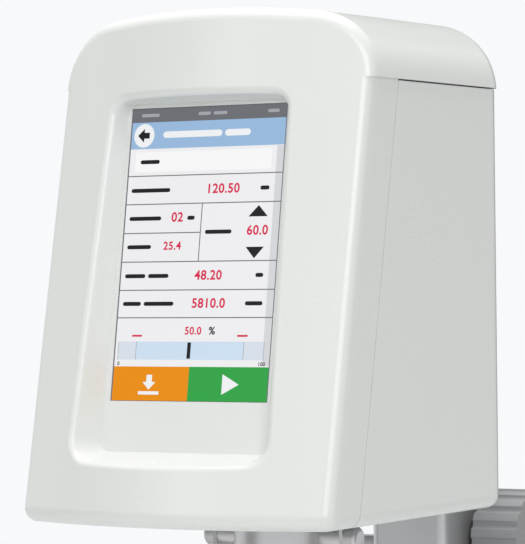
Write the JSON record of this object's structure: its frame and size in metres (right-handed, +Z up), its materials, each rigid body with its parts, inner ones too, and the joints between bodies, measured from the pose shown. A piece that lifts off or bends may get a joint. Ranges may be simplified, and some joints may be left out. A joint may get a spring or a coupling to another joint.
{
  "type": "rotational viscometer",
  "caption": "Rotational viscometer with a leaning white head, portrait touch screen, spindle in a guard leg and a rack-and-pinion lifting stand.",
  "frame": {"origin": "middle of the base's outline, on the bench under the feet", "axes": "+Z up along the measuring axis and the column, -Y towards the user and the screen, +X towards the lifting knob"},
  "size_m": [0.184, 0.264, 0.431],
  "materials": {
    "white_plastic": "fine moulded grain, satin",
    "grey_plate": "fine powder coat",
    "screen_glass": "clear cover glass over a lit display",
    "black_rubber": "matt moulded rubber",
    "dark_plastic": "fine moulded grain",
    "red_plastic": "glossy moulded rocker",
    "sheet_steel": "plated sheet",
    "plated_steel": "bright plated shell",
    "turned_steel": "turned stainless steel",
    "strip_steel": "brushed stainless strip",
    "screw_steel": "machine screws",
    "column_chrome": "ground and chromed bar",
    "aluminium": "anodised, satin",
    "brass": "machined brass",
    "spring_bronze": "rolled beryllium copper strip",
    "jewel": "polished ruby",
    "circuit_board": "solder resist",
    "bush_plastic": "low friction polymer",
    "knob_plastic": "fluted grey moulding",
    "base_paint": "textured powder coat",
    "vial_green": "bubble level"
  },
  "bodies": {
    "stand": {"base": "base_paint", "column": "column_chrome", "rack": "turned_steel", "rack_screws": "screw_steel", "column_cap": "dark_plastic", "column_bolt": "screw_steel", "level_ring": "brass", "level_vial": "vial_green"},
    "head": {"front_cover": "white_plastic", "rear_cover": "white_plastic", "bottom_plate": "grey_plate", "cover_screws": "screw_steel", "touch_glass": "screen_glass", "screen_gasket": "black_rubber", "lcd_module": "dark_plastic", "lcd_bracket": "sheet_steel", "frame_pillars": "brass", "frame_plate": "aluminium", "frame_screws": "screw_steel", "drive_motor": "sheet_steel", "sleeve_bearing": "brass", "optical_sensors": "dark_plastic", "pivot_cup": "turned_steel", "jewel_bearing": "jewel", "guard_leg": "strip_steel", "guard_screws": "screw_steel", "power_inlet": "dark_plastic", "switch_frame": "dark_plastic", "data_port": "plated_steel", "probe_socket": "dark_plastic", "main_board": "circuit_board", "board_posts": "brass", "rear_bracket": "sheet_steel", "support_arm": "aluminium", "arm_screws": "screw_steel", "carriage_screws": "screw_steel", "carriage": "aluminium", "guide_bushes": "bush_plastic", "pinion_bushes": "bush_plastic"},
    "lift_drive": {"pinion_shaft": "turned_steel", "lift_knob": "knob_plastic"},
    "drive": {"drive_sleeve": "turned_steel", "drive_gear": "brass", "upper_encoder_disc": "aluminium", "torsion_spring": "spring_bronze"},
    "motor_shaft": {"motor_pinion": "brass"},
    "measuring": {"pivot_shaft": "turned_steel", "lower_encoder_disc": "aluminium", "spindle_coupling": "turned_steel", "spindle": "turned_steel"},
    "clamp": {"clamp_screw": "knob_plastic"},
    "rocker": {"power_rocker": "red_plastic"},
    "front_left_foot": {"front_left_pad": "black_rubber", "front_left_levelling_screw": "turned_steel"},
    "front_right_foot": {"front_right_pad": "black_rubber", "front_right_levelling_screw": "turned_steel"},
    "rear_foot": {"rear_pad": "black_rubber", "rear_levelling_screw": "turned_steel"}
  },
  "joints": [
    {"name": "lift_slide", "type": "slide", "parent": "stand", "child": "head", "axis": [0, 0, 1], "range_m": [-0.06, 0.09]},
    {"name": "lift_knob_turn", "type": "hinge", "parent": "head", "child": "lift_drive", "pos_m": [0, 0.109, 0.226], "axis": [1, 0, 0], "range_deg": [-432, 648]},
    {"name": "drive_spin", "type": "hinge", "parent": "head", "child": "drive", "pos_m": [0, -0.022, 0.305], "axis": [0, 0, 1], "continuous": true},
    {"name": "motor_spin", "type": "hinge", "parent": "head", "child": "motor_shaft", "pos_m": [-0.04, -0.022, 0.305], "axis": [0, 0, 1], "continuous": true},
    {"name": "spring_windup", "type": "hinge", "parent": "drive", "child": "measuring", "pos_m": [0, -0.022, 0.231], "axis": [0, 0, 1], "range_deg": [0, 80], "stiffness_Nm_per_rad": 0.00005},
    {"name": "clamp_turn", "type": "hinge", "parent": "head", "child": "clamp", "pos_m": [-0.02, 0.092, 0.215], "axis": [-1, 0, 0], "range_deg": [-180, 0]},
    {"name": "power_rocking", "type": "hinge", "parent": "head", "child": "rocker", "pos_m": [-0.036, 0.038, 0.341], "axis": [-1, 0, 0], "range_deg": [0, 16]},
    {"name": "front_left_levelling", "type": "slide", "parent": "stand", "child": "front_left_foot", "axis": [0, 0, 1], "range_m": [-0.004, 0.004]},
    {"name": "front_right_levelling", "type": "slide", "parent": "stand", "child": "front_right_foot", "axis": [0, 0, 1], "range_m": [-0.004, 0.004]},
    {"name": "rear_levelling", "type": "slide", "parent": "stand", "child": "rear_foot", "axis": [0, 0, 1], "range_m": [-0.004, 0.004]}
  ],
  "couplings": [
    {"joint": "lift_knob_turn", "follows": "lift_slide", "rad_per_m": 125},
    {"joint": "motor_spin", "follows": "drive_spin", "ratio": -3}
  ]
}
